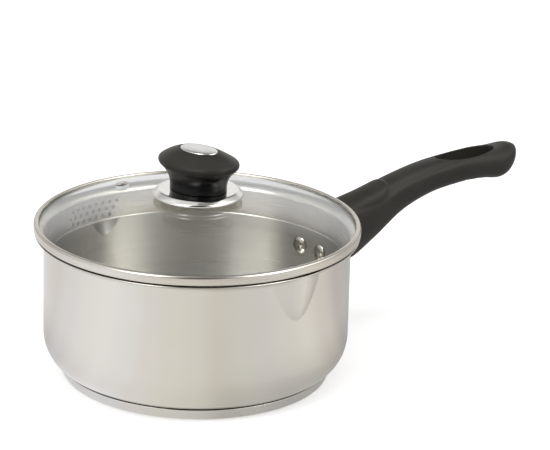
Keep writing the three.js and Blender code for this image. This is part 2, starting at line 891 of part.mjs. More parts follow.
function knobScrewBody() {
  const shank = knobScrew.shankDiameter / 2;
  const head = knobScrew.headDiameter / 2;
  const tip = footBottom + knobScrew.reach;
  const section = [
    ...arc(0, screwHeadTop, head, knobScrew.headHeight, 270, 360, 4),
    point(shank, screwHeadTop),
    point(shank, tip),
    point(0, tip),
  ];
  return revolve(section, smallSteps);
}

// ---- Assembly ----

const pan = new THREE.Group();
pan.add(
  named('pot_shell', potShell(), polishedSteel),
  named('base_heat_disc', heatDisc(), aluminium),
  named('base_capsule', baseCapsule(), brushedSteel),
  named('handle_bracket', handleBracket(), brushedSteel),
  ...rivets(),
  named('handle_grip', handleGrip(), blackPhenolic),
  named('handle_screw', handleScrew(), brushedSteel),
);

const cover = new THREE.Group();
cover.rotation.z = radians(lid.turn);
const gasketTop = gasketBottom + gasket.upperThickness;
cover.add(
  named('lid_glass', lidGlass(), clearGlass),
  named('glass_edge_seal', glassEdgeSeal(), clearSilicone),
  named('lid_rim', lidRim(), polishedSteel),
  named('vent_eyelet', ventEyelet(), polishedSteel),
  named('vent_washer', ventWasher(), clearSilicone),
  named('knob_body', knobBody(), blackPhenolic),
  named('knob_cap', knobCap(), brushedSteel),
  named('knob_plate', knobPlate(), chrome),
  named('knob_insert', knobInsert(), brass),
  named('knob_screw', knobScrewBody(), brushedSteel),
  named(
    'knob_gasket_upper',
    ring(boltHole, gasket.upperDiameter / 2, gasketBottom, gasketTop),
    clearSilicone,
  ),
  named(
    'knob_gasket_lower',
    ring(boltHole, gasket.lowerDiameter / 2, washerTop + clearance, lowerGasketTop),
    clearSilicone,
  ),
  named(
    'knob_washer',
    ring(boltHole, washer.diameter / 2, washerTop - washer.thickness, washerTop),
    brushedSteel,
  ),
);

const saucepan = new THREE.Group();
saucepan.add(pan, cover);

export default saucepan;
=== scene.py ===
# An 18 cm stainless saucepan with two pressed pour spouts, a black handle and a glass lid
# whose rolled steel rim carries a perforated skirt. Sizes are in millimetres until a mesh is
# made. The origin is the centre of the base's underside, the handle runs along +X and the
# spouts face +Y and -Y.
import math

import bmesh
import bpy
import numpy as np
from mathutils import Matrix, Vector


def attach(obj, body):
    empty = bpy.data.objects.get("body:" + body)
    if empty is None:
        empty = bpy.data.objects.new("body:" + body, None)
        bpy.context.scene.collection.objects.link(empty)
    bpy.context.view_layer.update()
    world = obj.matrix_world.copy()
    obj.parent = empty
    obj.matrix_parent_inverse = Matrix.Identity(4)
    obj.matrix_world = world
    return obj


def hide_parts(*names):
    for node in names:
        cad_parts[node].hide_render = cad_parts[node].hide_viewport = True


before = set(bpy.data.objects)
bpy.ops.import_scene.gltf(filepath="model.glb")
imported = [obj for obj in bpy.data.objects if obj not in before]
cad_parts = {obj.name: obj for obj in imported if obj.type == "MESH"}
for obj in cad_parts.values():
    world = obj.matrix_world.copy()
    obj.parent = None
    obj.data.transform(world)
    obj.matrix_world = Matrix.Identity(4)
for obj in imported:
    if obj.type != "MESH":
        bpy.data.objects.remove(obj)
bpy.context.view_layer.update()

# ---------------------------------------------------------------- sizes

MM = 0.001
MICRON = 0.000001
HAIR = 1e-6  # lengths under this are rounding errors
GAP = 0.3  # between two pieces that touch on the real pan

POT_HEIGHT = 86.4
WALL_INNER = 90.0
SHEET = 0.6
WALL_OUTER = WALL_INNER + SHEET
LIP_RADIUS = WALL_OUTER + 5.4
LIP_EDGE = 0.5  # how much of the lip is left for the sheet's rounded edge
FLARE_HEIGHT = 5.5
FLARE_START = POT_HEIGHT - FLARE_HEIGHT
CORNER_WIDTH = 16.0  # the bottom corner is a quarter ellipse
CORNER_HEIGHT = 20.5
POT_UNDERSIDE = 5.2

SPOUT_DEPTH = 4.6  # how far the channel is pressed out of the wall at its top
SPOUT_WIDTH = 34.0  # measured round the wall at its top
SPOUT_TIP = POT_HEIGHT - 28.0
SPOUT_SLOPE = 0.75  # exponent of its depth against height
SPOUT_ROUNDNESS = 1.25  # exponent of its depth against width
SPOUT_CROWDING = 0.25  # how far the mesh's columns are drawn towards the spouts

SEAM_RADIUS = WALL_OUTER - 10.1  # where the base's upper edge meets the corner
SEAM_GAP = 0.12
BASE_TAPER = 1.0
BASE_EDGE = 1.5

RIVET_HEIGHT = 56.0
RIVET_ANGLE = 9.2 / WALL_OUTER
RIVET_SHANK = 2.5
RIVET_HEAD = 5.5
RIVET_HEAD_HEIGHT = 2.2
RIVET_TAIL = 4.0
RIVET_TAIL_HEIGHT = 2.4
BRACKET_SHEET = 1.5

# Stations along the grip: out from the wall, top, bottom, half width.
STATIONS = np.array([
    (0, 73.6, 47.2, 17.2),
    (13.5, 78.3, 45.8, 15.9),
    (27.5, 82.7, 46.2, 14.4),
    (45.6, 86.6, 54.2, 12.6),
    (67.7, 91.2, 67.0, 11.4),
    (91.8, 94.6, 74.3, 11.2),
    (115.9, 95.5, 76.7, 12.1),
    (138, 95.3, 76.1, 13.3),
    (156.1, 94.1, 74, 14.8),
    (172.2, 95.4, 77.7, 15.6),
])
TOP, BOTTOM, HALF_WIDTH = 1, 2, 3  # its columns
GRIP_INSET = 4.0  # the grip starts inside the wall, where it is cut to fit
GRIP_END = 172.15
END_HEIGHT = 91.4
END_ROUNDING = 23.1  # length of the rounded end seen from above
TOP_ROUNDING = 9.8  # and seen from the side
BOTTOM_ROUNDING = 22.1
END_FULLNESS = 1.85
ROOT_SQUARENESS = 3.6  # exponents of the superellipse sections
SQUARENESS = 2.4
ROOT_LENGTH = 40  # over which the squarer root blends into the rest

SLOT_MIDDLE = 128.7
SLOT_HALF = (25.0, 8.7)
SLOT_DRAFT = 0.6  # how much narrower each side is at mid height
SLOT_FLARE = 3.9
SLOT_FLARE_FROM = 0.86  # share of the half height where the flare starts

PANEL_LENGTH = 57.4  # the thumb panel on top of the root
PANEL_HALF = 10.8
PANEL_TIP = 12.0
PANEL_FULLNESS = 2.7
PANEL_STEP = 0.9
CREASE_DEPTH = 0.95
CREASE_WIDTH = 1.5

LID_TURN = math.radians(10)
STRIP = 0.5
RIM_OUTER = LIP_RADIUS + 0.25
RIM_INNER = RIM_OUTER - 3.05
RIM_CORNER = 1.6
HEM_RADIUS = 0.8
SKIRT_RADIUS = WALL_INNER - 1.1
SKIRT_BOTTOM = POT_HEIGHT - 18.1
SKIRT_TUCK = 0.4  # its lower edge is turned in by this much
LEG_BOTTOM = POT_HEIGHT + GAP
WEB_BOTTOM = LEG_BOTTOM + 0.5
NECK_WIDTH = 4.5
NECK_HEIGHT = 3.3

HOLE_ROWS = ((11.5, 8, 0.0), (7.5, 8, 0.5), (3.3, 7, 0.5))  # height, count, shift in pitches
HOLE_RADIUS = 1.2
PITCH = 5.35 / SKIRT_RADIUS
STRAINERS = [math.radians(facing - 2.7) for facing in (90, 270)]

GLASS_RADIUS = LIP_RADIUS - STRIP - 0.9
GLASS_SEAT = WEB_BOTTOM + STRIP + GAP
GLASS_THICK = 3.0
GLASS_RISE = 17.4
INNER_SPHERE = (GLASS_RADIUS**2 + GLASS_RISE**2) / (2 * GLASS_RISE)
SPHERE_CENTRE = GLASS_SEAT + GLASS_RISE - INNER_SPHERE
OUTER_SPHERE = INNER_SPHERE + GLASS_THICK
KNOB_HOLE = 4.5


def glass_top(radius):
    return SPHERE_CENTRE + math.sqrt(OUTER_SPHERE**2 - radius**2)


def glass_under(radius):
    return SPHERE_CENTRE + math.sqrt(INNER_SPHERE**2 - radius**2)


HEM_BOTTOM = glass_top(RIM_INNER) + GAP
CREST = HEM_BOTTOM + 1.1

VENT_RADIUS = 61.0  # from the lid's axis
VENT_BORE = 1.5
VENT_TUBE = 2.5
VENT_FLANGE = 4.0
VENT_CLINCH = 3.25
VENT_SHEET = 0.7
VENT_WASHER = 0.8

PLATE_RADIUS = 26.7
PLATE_SHEET = 0.8
PLATE_BEVEL = 3.5
PLATE_BEVEL_DROP = 1.9
PLATE_LIP = 0.7
UPPER_GASKET = 3.1  # heights of the pieces that the knob's screw clamps to the glass
LOWER_GASKET = 0.7
KNOB_WASHER = 1.0
PLATE_BOTTOM = glass_top(0) + GAP + UPPER_GASKET + GAP

# Half lengths and heights of the oval knob, the heights above its foot, and its ratios of
# short axis to long axis.
FOOT = PLATE_BOTTOM + PLATE_SHEET + GAP
FOOT_HALF, FOOT_HEIGHT, FOOT_RATIO = 18.0, 2, 0.84
NECK_HALF, NECK_TOP, NECK_RATIO = 18.7, 9.2, 0.78
HEAD_HALF, EQUATOR, HEAD_RATIO = 26.4, 16.1, 0.77
CAP_HALF, SHOULDER, CAP_RATIO = 12.75, 23.7, 0.66
EDGE_ROUND = 1.6
EDGE_TUCK = 0.6
DOME_REACH = 0.76
DOME_DROP = 1.8
CAP_POCKET = SHOULDER - 1.6
CAP_ROUND = 0.25
CAP_CROWN = 0.7
INSERT_POCKET = (4.8, 11.6)  # radius and depth

SCREW_SHANK = 2.5
BOLT_HOLE = SCREW_SHANK + GAP
SCREW_HEAD = 4.75
SCREW_HEAD_HEIGHT = 2.4
SCREW_REACH = 10
SCREW_SEAT = glass_under(0) - GAP - LOWER_GASKET - GAP - KNOB_WASHER - GAP


# ---------------------------------------------------------------- mesh helpers


def arc(cx, cy, rx, ry, start, end, steps):
    angles = np.radians(np.linspace(start, end, steps + 1))
    return [(cx + rx * math.cos(a), cy + ry * math.sin(a)) for a in angles]


def on_axis(point):
    return (0.0, point[1])


def densify(points, longest):
    """Splits the long stretches of a line."""
    out = [points[0]]
    for a, b in zip(points, points[1:]):
        count = max(int(math.ceil(math.dist(a, b) / longest)), 1)
        for i in range(1, count + 1):
            t = i / count
            out.append((a[0] + (b[0] - a[0]) * t, a[1] + (b[1] - a[1]) * t))
    return out


def rounded(points, radius, steps):
    """Rounds each inner corner of an open line; radius is one number or one per point."""
    out = [points[0]]
    for i in range(1, len(points) - 1):
        before, here, after = (np.array(points[j], float) for j in (i - 1, i, i + 1))
        r = radius[i] if isinstance(radius, (list, tuple)) else radius
        u, v = before - here, after - here
        lu, lv = np.linalg.norm(u), np.linalg.norm(v)
        reach = min(r, 0.49 * lu, 0.49 * lv)
        if reach < HAIR:
            out.append(tuple(here))
            continue
        a, b = here + u / lu * reach, here + v / lv * reach
        for k in range(steps + 1):
            t = k / steps
            out.append(tuple((1 - t) ** 2 * a + 2 * t * (1 - t) * here + t * t * b))
    out.append(points[-1])
    return out


def offset_line(points, distance):
    """The line moved to its left by a distance."""
    p = np.array(points, float)
    d = np.diff(p, axis=0)
    d /= np.linalg.norm(d, axis=1)[:, None]
    normal = np.stack([-d[:, 1], d[:, 0]], axis=1)
    at = np.vstack([normal[:1], normal[:-1] + normal[1:], normal[-1:]])
    at /= np.linalg.norm(at, axis=1)[:, None]
    cos = np.concatenate([[1], (at[1:-1] * normal[:-1]).sum(axis=1), [1]])
    return [tuple(v) for v in p + at * distance / np.maximum(cos, 0.4)[:, None]]


def make_object(name, verts, faces, materials, face_slots=None):
    mesh = bpy.data.meshes.new(name)
    mesh.from_pydata([Vector(v) * MM for v in verts], [], faces)
    mesh.update()
    for material in materials:
        mesh.materials.append(material)
    if face_slots is not None:
        mesh.polygons.foreach_set("material_index", face_slots)
    thing = bpy.data.objects.new(name, mesh)
    shade_smooth(thing)
    bpy.context.scene.collection.objects.link(thing)
    return thing


def shade_smooth(thing):
    thing.data.polygons.foreach_set("use_smooth", [True] * len(thing.data.polygons))


def lathe(name, profile, materials, steps, slots=None, move=None, ratio=None):
    """Turns a closed half section (radius, height) about Z, with a material slot per stretch."""
    count = len(profile)
    verts, rings = [], []
    angles = [2 * math.pi * i / steps for i in range(steps)]
    for r, z in profile:
        if r < HAIR:
            rings.append([len(verts)] * steps)
            verts.append((0.0, 0.0, z))
            continue
        rings.append(list(range(len(verts), len(verts) + steps)))
        squeeze = ratio(z) if ratio else 1.0
        verts += [(r * math.cos(a) * squeeze, r * math.sin(a), z) for a in angles]
    faces, face_slots = [], []
    for k in range(count):
        low, high = rings[k], rings[(k + 1) % count]
        if low[0] == low[1] and high[0] == high[1]:
            continue
        for i in range(steps):
            j = (i + 1) % steps
            corners = [low[i], low[j], high[j], high[i]]
            face = list(dict.fromkeys(corners))
            if len(face) > 2:
                faces.append(face)
                face_slots.append(slots[k] if slots else 0)
    if move:
        verts = [move(v) for v in verts]
    thing = make_object(name, verts, faces, materials, face_slots)
    fix_normals(thing)
    return thing


def loft(name, rings, material):
    """Joins closed rings, each with as many points, into a solid with flat ends."""
    sides = len(rings[0])
    verts = [point for ring in rings for point in ring]
    faces = []
    for r in range(len(rings) - 1):
        low, high = r * sides, (r + 1) * sides
        for k in range(sides):
            m = (k + 1) % sides
            faces.append([low + k, high + k, high + m, low + m])
    faces.append(list(range(sides)))
    faces.append(list(range(len(verts) - sides, len(verts))))
    thing = make_object(name, verts, faces, [material])
    fix_normals(thing)
    return thing


def fix_normals(thing):
    bm = bmesh.new()
    bm.from_mesh(thing.data)
    bmesh.ops.recalc_face_normals(bm, faces=bm.faces)
    bm.to_mesh(thing.data)
    bm.free()


def sharpen(thing, degrees):
    """Marks the edges that are sharper than an angle, where the shading breaks."""
    bm = bmesh.new()
    bm.from_mesh(thing.data)
    limit = math.radians(degrees)
    for edge in bm.edges:
        edge.smooth = len(edge.link_faces) != 2 or edge.calc_face_angle(0) < limit
    bm.to_mesh(thing.data)
    bm.free()


def turn_about_z(thing, angle):
    thing.data.transform(Matrix.Rotation(angle, 4, "Z"))


def modify(thing, kind, **values):
    modifier = thing.modifiers.new(kind.lower(), kind)
    for key, value in values.items():
        setattr(modifier, key, value)


def apply_modifiers(thing):
    graph = bpy.context.evaluated_depsgraph_get()
    mesh = bpy.data.meshes.new_from_object(thing.evaluated_get(graph), depsgraph=graph)
    thing.modifiers.clear()
    thing.data = mesh


def cut(thing, cutter):
    """Cuts one solid out of another and drops it."""
    modify(thing, "BOOLEAN", operation="DIFFERENCE", solver="EXACT", object=cutter)
    apply_modifiers(thing)
    bpy.data.objects.remove(cutter, do_unlink=True)


# ---------------------------------------------------------------- material helpers


def grey(value):
    return (value, value, value, 1.0)


def colour(r, g, b):
    return (r, g, b, 1.0)


class Tree:
    """Short names for building a node tree."""

    def __init__(self, tree):
        self.tree = tree

    def add(self, kind, inputs=None, **settings):
        node = self.tree.nodes.new(kind)
        for key, value in settings.items():
            setattr(node, key, value)
        for key, value in (inputs or {}).items():
            self.put(node.inputs[key], value)
        return node

    def put(self, socket, value):
        if isinstance(value, bpy.types.NodeSocket):
            self.tree.links.new(value, socket)
        else:
            socket.default_value = value

    def place(self, kind="Object"):
        return self.add("ShaderNodeTexCoord").outputs[kind]

    def split(self, vector):
        return tuple(self.add("ShaderNodeSeparateXYZ", {0: vector}).outputs)

    def stretch(self, vector, x, y, z, turn=0.0):
        inputs = {"Vector": vector, "Rotation": (0, 0, turn), "Scale": (x, y, z)}
        return self.add("ShaderNodeMapping", inputs).outputs[0]

    def math(self, operation, a, b=0.0, c=0.0):
        return self.add("ShaderNodeMath", {0: a, 1: b, 2: c}, operation=operation).outputs[0]

    def noise(self, vector, scale, detail, roughness=0.5):
        inputs = {"Vector": vector, "Scale": scale, "Detail": detail, "Roughness": roughness}
        return self.add("ShaderNodeTexNoise", inputs).outputs["Fac"]

    def spread(self, value, low, high, from_low=0.3, from_high=0.7, curve="LINEAR"):
        """Maps one range of a value to another. The first range suits a noise."""
        inputs = {"Value": value, "From Min": from_low, "From Max": from_high}
        inputs.update({"To Min": low, "To Max": high})
        return self.add("ShaderNodeMapRange", inputs, interpolation_type=curve).outputs[0]

    def blend(self, factor, a, b):
        """Mixes two colours."""
        return self.add("ShaderNodeMix", {0: factor, 6: a, 7: b}, data_type="RGBA").outputs[2]

    def mix(self, factor, a, b):
        """Mixes two shaders."""
        return self.add("ShaderNodeMixShader", {0: factor, 1: a, 2: b}).outputs[0]

    def azimuth(self, vector):
        """A direction round the Z axis as a share of a turn, counted in the camera's frame."""
        x, y, z = self.split(vector)
        angle = self.math("ARCTAN2", y, x)
        turns = self.math("MULTIPLY_ADD", angle, 1 / (2 * math.pi), 1 + CAMERA_TURN / 360)
        return self.math("FRACT", turns)

    def ramp(self, azimuth, stops):
        """A brightness or a colour that changes round the Z axis. stops are (degrees, value)."""
        node = self.add("ShaderNodeValToRGB", {0: azimuth})
        node.color_ramp.interpolation = "EASE"
        elements = node.color_ramp.elements
        while len(elements) > 1:
            elements.remove(elements[-1])
        for i, (degrees, value) in enumerate(stops):
            element = elements[0] if i == 0 else elements.new(degrees / 360)
            element.position = degrees / 360
            element.color = colour(*value) if isinstance(value, tuple) else grey(value)
        return node.outputs[0]

    def seen_by_eye(self):
        """1 for a ray from the eye, also where it has only passed through glass."""
        path = self.add("ShaderNodeLightPath").outputs
        turned = self.math("ADD", path["Glossy Depth"], path["Diffuse Depth"])
        through = self.math("GREATER_THAN", path["Is Transmission Ray"], turned)
        return self.math("MAXIMUM", path["Is Camera Ray"], through)


class Surface(Tree):
    """A material on its Principled shader."""

    def __init__(self, name, **values):
        self.material = bpy.data.materials.new(name)
        self.material.use_nodes = True
        super().__init__(self.material.node_tree)
        self.shader = self.tree.nodes["Principled BSDF"]
        self.set(**values)

    def set(self, **values):
        for key, value in values.items():
            self.put(self.shader.inputs[key.replace("_", " ")], value)

    def around(self, along, up):
        """Coordinates for lines that run round the Z axis: slow along them, quick across."""
        x, y, z = self.split(self.place())
        squares = self.math("ADD", self.math("MULTIPLY", x, x), self.math("MULTIPLY", y, y))
        radius = self.math("SQRT", squares)
        safe = self.math("MAXIMUM", radius, 0.5 * MM)
        across = self.math(
            "ADD", self.math("MULTIPLY", z, up), self.math("MULTIPLY", radius, up * 0.9)
        )
        parts = {2: across}
        for i, side in enumerate((x, y)):
            parts[i] = self.math("MULTIPLY", self.math("DIVIDE", side, safe), along)
        return self.add("ShaderNodeCombineXYZ", parts).outputs[0]

    def bump(self, height, strength, microns):
        inputs = {"Height": height, "Strength": strength, "Distance": microns * MICRON}
        self.set(Normal=self.add("ShaderNodeBump", inputs).outputs[0])

    def follow(self, pattern, pale, dark, roughness, relief):
        """Makes tint, roughness (from, to) and relief (strength, microns) follow a pattern."""
        tint = self.blend(self.spread(pattern, 0, 1), colour(*pale), colour(*dark))
        self.set(Base_Color=tint, Roughness=self.spread(pattern, *roughness))
        self.bump(pattern, *relief)

    def brush_round(self, strength):
        """Draws highlights out across lines that run round the Z axis."""
        tangent = self.add("ShaderNodeTangent", direction_type="RADIAL", axis="Z").outputs[0]
        self.set(Anisotropic=strength, Anisotropic_Rotation=0.25, Tangent=tangent)


# ---------------------------------------------------------------- materials


def polished_steel():
    n = Surface("polished_steel", Metallic=1.0)
    smudge = n.noise(n.stretch(n.place(), 20, 20, 48), 1.0, 3)
    bloom = n.noise(n.stretch(n.place(), 30, 30, 16), 1.0, 2)
    tint = n.blend(
        n.spread(smudge, 0, 1), colour(0.656, 0.620, 0.566), colour(0.632, 0.608, 0.538)
    )
    tint = n.blend(n.spread(bloom, 0, 0.5), tint, colour(0.655, 0.618, 0.572))
    n.set(Base_Color=tint, Roughness=n.spread(smudge, 0.10, 0.15))
    n.bump(n.noise(n.around(1.5, 2600), 1.0, 3), 0.05, 20)
    return n.material


def brushed_inside():
    """The brushing is finer low in the pan, where the corner starts."""
    n = Surface("brushed_steel_inside", Metallic=1.0)
    lines = n.noise(n.around(2.2, 1900), 1.0, 4, 0.6)
    broad = n.noise(n.around(1.2, 260), 1.0, 2)
    tint = n.blend(
        n.spread(broad, 0, 1), colour(0.695, 0.673, 0.638), colour(0.655, 0.635, 0.604)
    )
    wall = n.spread(n.split(n.place())[2], 0.45, 1.0, 6 * MM, 26 * MM)
    n.set(Base_Color=tint, Roughness=n.math("MULTIPLY", n.spread(lines, 0.27, 0.33), wall))
    n.brush_round(0.75)
    n.bump(lines, 0.12, 30)
    return n.material


def rim_steel():
    n = Surface("rim_steel", Metallic=1.0)
    lines = n.noise(n.around(2.0, 2200), 1.0, 3)
    n.follow(lines, (0.645, 0.605, 0.540), (0.605, 0.570, 0.512), (0.24, 0.28), (0.03, 20))
    n.brush_round(0.5)
    return n.material


def base_steel():
    n = Surface("base_steel", Metallic=1.0)
    rings = n.noise(n.around(0.6, 1500), 1.0, 3)
    smudge = n.noise(n.place(), 30, 2)
    tint = n.blend(
        n.spread(smudge, 0, 1), colour(0.640, 0.620, 0.575), colour(0.580, 0.562, 0.525)
    )
    n.set(Base_Color=tint, Roughness=n.spread(rings, 0.13, 0.28))
    n.bump(rings, 0.2, 50)
    return n.material


def plain_steel():
    n = Surface("plain_brushed_steel", Metallic=1.0)
    grain = n.noise(n.stretch(n.place(), 300, 2400, 900), 1.0, 3)
    n.follow(grain, (0.70, 0.69, 0.67), (0.60, 0.595, 0.58), (0.26, 0.40), (0.2, 40))
    return n.material


def cap_steel():
    n = Surface("cap_steel", Metallic=1.0)
    lines = n.noise(n.stretch(n.place(), 2600, 60, 200, -LID_TURN), 1.0, 3)
    n.follow(lines, (0.88, 0.862, 0.830), (0.78, 0.763, 0.735), (0.20, 0.32), (0.25, 40))
    return n.material


def chrome_plate():
    n = Surface("chrome_plate", Metallic=1.0)
    haze = n.noise(n.place(), 90, 3)
    n.follow(haze, (0.83, 0.810, 0.770), (0.78, 0.762, 0.727), (0.04, 0.09), (0.04, 50))
    return n.material


# Painted shade: the knob plate's flat underside, painted near black for the shade under the plate.
def pressed_steel_painted_shade():
    n = Surface("pressed_steel_underside", Metallic=1.0)
    grain = n.noise(n.place(), 1200, 3)
    n.follow(grain, (0.060, 0.060, 0.054), (0.045, 0.045, 0.040), (0.42, 0.56), (0.2, 40))
    return n.material


def aluminium():
    n = Surface("aluminium", Metallic=1.0)
    grain = n.noise(n.place(), 900, 3)
    n.follow(grain, (0.74, 0.75, 0.76), (0.64, 0.65, 0.66), (0.35, 0.5), (0.2, 50))
    return n.material


def brass():
    n = Surface("brass", Metallic=1.0)
    rings = n.noise(n.around(1.0, 2400), 1.0, 3)
    n.follow(rings, (0.70, 0.54, 0.26), (0.58, 0.43, 0.19), (0.22, 0.36), (0.2, 40))
    return n.material


def black_phenolic(name, roughness, microns, gloss, neck=None):
    """Moulded black plastic, glossier up to the height of a neck. Up to that height its colour is painted
    near black as painted shade under the head, and the head's colour is painted a little lighter as
    painted light.
    """
    n = Surface(name, Specular_IOR_Level=gloss)
    cloud = n.noise(n.place(), 60, 3)
    tint = n.blend(
        n.spread(cloud, 0, 1), colour(0.0165, 0.0150, 0.0120), colour(0.0225, 0.0206, 0.0168)
    )
    rough = n.spread(cloud, *roughness)
    if neck:
        above_painted_neck_shade = n.spread(n.split(n.place())[2], 0.0, 1.0, neck * MM, (neck + 3) * MM)
        rough = n.math("MULTIPLY", rough, n.spread(above_painted_neck_shade, 0.45, 1.0, 0.0, 1.0))
        # Painted light: the colour is made a little lighter, which shows on the head.
        tint = n.blend(0.1, tint, colour(0.040, 0.039, 0.036))
        # Painted shade: up to the neck's height the colour is painted near black, for the shade under the
        # head.
        tint = n.blend(above_painted_neck_shade, grey(0.006), tint)
    n.set(Base_Color=tint, Roughness=rough)
    n.bump(n.noise(n.place(), 2600, 3, 0.6), 0.24, microns)
    return n.material


def silicone(name, pale, dark):
    n = Surface(name, Subsurface_Weight=0.15)
    n.follow(n.noise(n.place(), 400, 3), pale, dark, (0.38, 0.55), (0.1, 50))
    return n.material


def clear_glass():
    n = Surface("clear_glass", Transmission_Weight=1.0, IOR=1.5)
    haze = n.noise(n.place(), 35, 2)
    tint = n.blend(
        n.spread(haze, 0, 1), colour(0.955, 0.970, 0.962), colour(0.945, 0.962, 0.953)
    )
    n.set(Base_Color=tint, Roughness=n.spread(haze, 0.0, 0.012))
    return n.material


STEEL = polished_steel()
INSIDE = brushed_inside()
RIM = rim_steel()
BASE = base_steel()
PLAIN = plain_steel()
CAP = cap_steel()
CHROME = chrome_plate()
# Painted shade for the knob plate's underside.
UNDERSIDE = pressed_steel_painted_shade()
ALUMINIUM = aluminium()
BRASS = brass()
BLACK = black_phenolic("black_phenolic", (0.36, 0.46), 80, 0.16)
# The knob's material carries painted shade on its neck and painted light on its head.
BLACK_KNOB_PAINTED_LIGHT_AND_SHADE = black_phenolic("black_phenolic_knob_painted_light_and_shade", (0.30, 0.38), 50, 0.12, FOOT + 11)
SILICONE = silicone("clear_silicone", (0.70, 0.71, 0.68), (0.62, 0.63, 0.60))
# Painted shade: the upper gasket under the knob's plate is clear silicone painted dark grey, for the
# shade there.
GASKET = silicone("silicone_painted_shade", (0.085, 0.085, 0.078), (0.060, 0.060, 0.055))
GLASS = clear_glass()


def dress(node, material):
    """Gives a CAD node that stays its material."""
    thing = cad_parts[node]
    for slot in thing.material_slots:
        slot.material = material


def install(thing, body, slot, *nodes):
    """Rides a piece on its body in place of CAD nodes."""
    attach(thing, body)
    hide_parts(*nodes)


# ---------------------------------------------------------------- pan


def ease(value, low, high):
    t = min(max((value - low) / (high - low), 0.0), 1.0)
    return t * t * (3 - 2 * t)


def press_spouts(v):
    """Moves a point of the shell outwards where a spout is pressed."""
    x, y, z = v
    radius = math.hypot(x, y)
    up = min((z - SPOUT_TIP) / (FLARE_START - SPOUT_TIP), 1.0)
    if up <= 0 or radius < WALL_OUTER - CORNER_WIDTH:
        return v
    angle = math.atan2(abs(x), abs(y))
    half = SPOUT_WIDTH / 2 * math.sqrt(up)
    across = min(angle * WALL_OUTER / half, 1.0)
    shape = (1 - across**2) ** SPOUT_ROUNDNESS
    flared = math.atan2(max(z - FLARE_START, 0.0), max(LIP_RADIUS - radius, HAIR))
    depth = SPOUT_DEPTH * up**SPOUT_SLOPE * shape * math.cos(flared)
    grow = (radius + depth) / radius
    return (x * grow, y * grow, z)


def crowd(v):
    """Draws the shell's columns together at the two spouts."""
    x, y, z = v
    radius, angle = math.hypot(x, y), math.atan2(y, x)
    moved = angle + SPOUT_CROWDING * math.sin(2 * angle)
    return (radius * math.cos(moved), radius * math.sin(moved), z)


def pot_shell():
    """One drawn sheet: floor, rounded corner, straight wall and flared lip."""
    floor = POT_UNDERSIDE + SHEET
    flat = WALL_INNER - CORNER_WIDTH
    rise = CORNER_HEIGHT - SHEET
    lip = LIP_RADIUS - LIP_EDGE
    inner = densify([(0.001, floor), (flat, floor)], 6)
    inner += arc(flat, floor + rise, CORNER_WIDTH, rise, 270, 360, 14)[1:]
    inner += densify([inner[-1], (WALL_INNER, SPOUT_TIP - 1)], 4)[1:]
    inner += densify([inner[-1], (WALL_INNER, FLARE_START)], 0.7)[1:]
    inner += arc(lip, FLARE_START, lip - WALL_INNER, FLARE_HEIGHT, 180, 90, 12)[1:]
    outer = offset_line(inner, -SHEET)
    edge = rounded([inner[-1], (lip + 0.22, inner[-1][1] - SHEET / 2), outer[-1]], 0.2, 3)
    inner[0], outer[0] = on_axis(inner[0]), on_axis(outer[0])
    profile = inner + edge[1:-1] + outer[::-1]
    slots = [1] * (len(inner) - 1) + [0] * (len(profile) - len(inner) + 1)
    shell = lathe(
        "pot_shell_fine", profile, [STEEL, INSIDE], steps=420, slots=slots,
        move=lambda v: press_spouts(crowd(v)),
    )
    install(shell, "pot", "polished_steel", "pot_shell")


def corner_height(radius):
    across = max(radius - (WALL_OUTER - CORNER_WIDTH), 0) / CORNER_WIDTH
    return POT_UNDERSIDE + CORNER_HEIGHT * (1 - math.sqrt(1 - across * across))


def base_capsule():
    """A cup whose upper edge is rounded over just under the pan's corner."""
    bottom = SEAM_RADIUS - BASE_TAPER
    seam = corner_height(SEAM_RADIUS - SHEET) - SEAM_GAP
    line = densify([(0.0, 0.0), (bottom - BASE_EDGE, 0.0)], 5)
    line += arc(bottom - BASE_EDGE, BASE_EDGE, BASE_EDGE, BASE_EDGE, 270, 360, 8)[1:]
    line += densify([line[-1], (SEAM_RADIUS, seam - 0.25)], 2)[1:]
    line += [(SEAM_RADIUS - 0.08, seam - 0.05), (SEAM_RADIUS - SHEET / 2, seam)]
    line += [(SEAM_RADIUS - SHEET, seam - 0.1), (bottom - SHEET, SHEET + 1)]
    line += [(bottom - SHEET - 1, SHEET), (0.0, SHEET)]
    cup = lathe("base_capsule_fine", line, [BASE], steps=300)
    install(cup, "pot", "base_steel", "base_capsule")


def rivet(side, node):
    """A domed head inside the pan, and a tail outside the bracket."""
    seat = -GAP - (2 * RIVET_HEAD) ** 2 / (8 * WALL_INNER)
    tail_seat = SHEET + GAP + BRACKET_SHEET + GAP
    section = arc(0, seat, RIVET_HEAD, RIVET_HEAD_HEIGHT, 270, 352, 12)
    section += [(RIVET_HEAD, seat - 0.05), (RIVET_HEAD - 0.1, seat), (RIVET_SHANK, seat)]
    section += [(RIVET_SHANK, tail_seat), (RIVET_TAIL, tail_seat)]
    section += arc(0, tail_seat, RIVET_TAIL, RIVET_TAIL_HEIGHT, 8, 90, 8)
    section[0], section[-1] = on_axis(section[0]), on_axis(section[-1])
    thing = lathe(node + "_fine", section, [STEEL], steps=64)
    place = (
        Matrix.Rotation(side * RIVET_ANGLE, 4, "Z")
        @ Matrix.Translation((WALL_INNER * MM, 0, RIVET_HEIGHT * MM))
        @ Matrix.Rotation(math.pi / 2, 4, "Y")
    )
    thing.data.transform(place)
    sharpen(thing, 50)
    install(thing, "pot", "polished_steel", node)


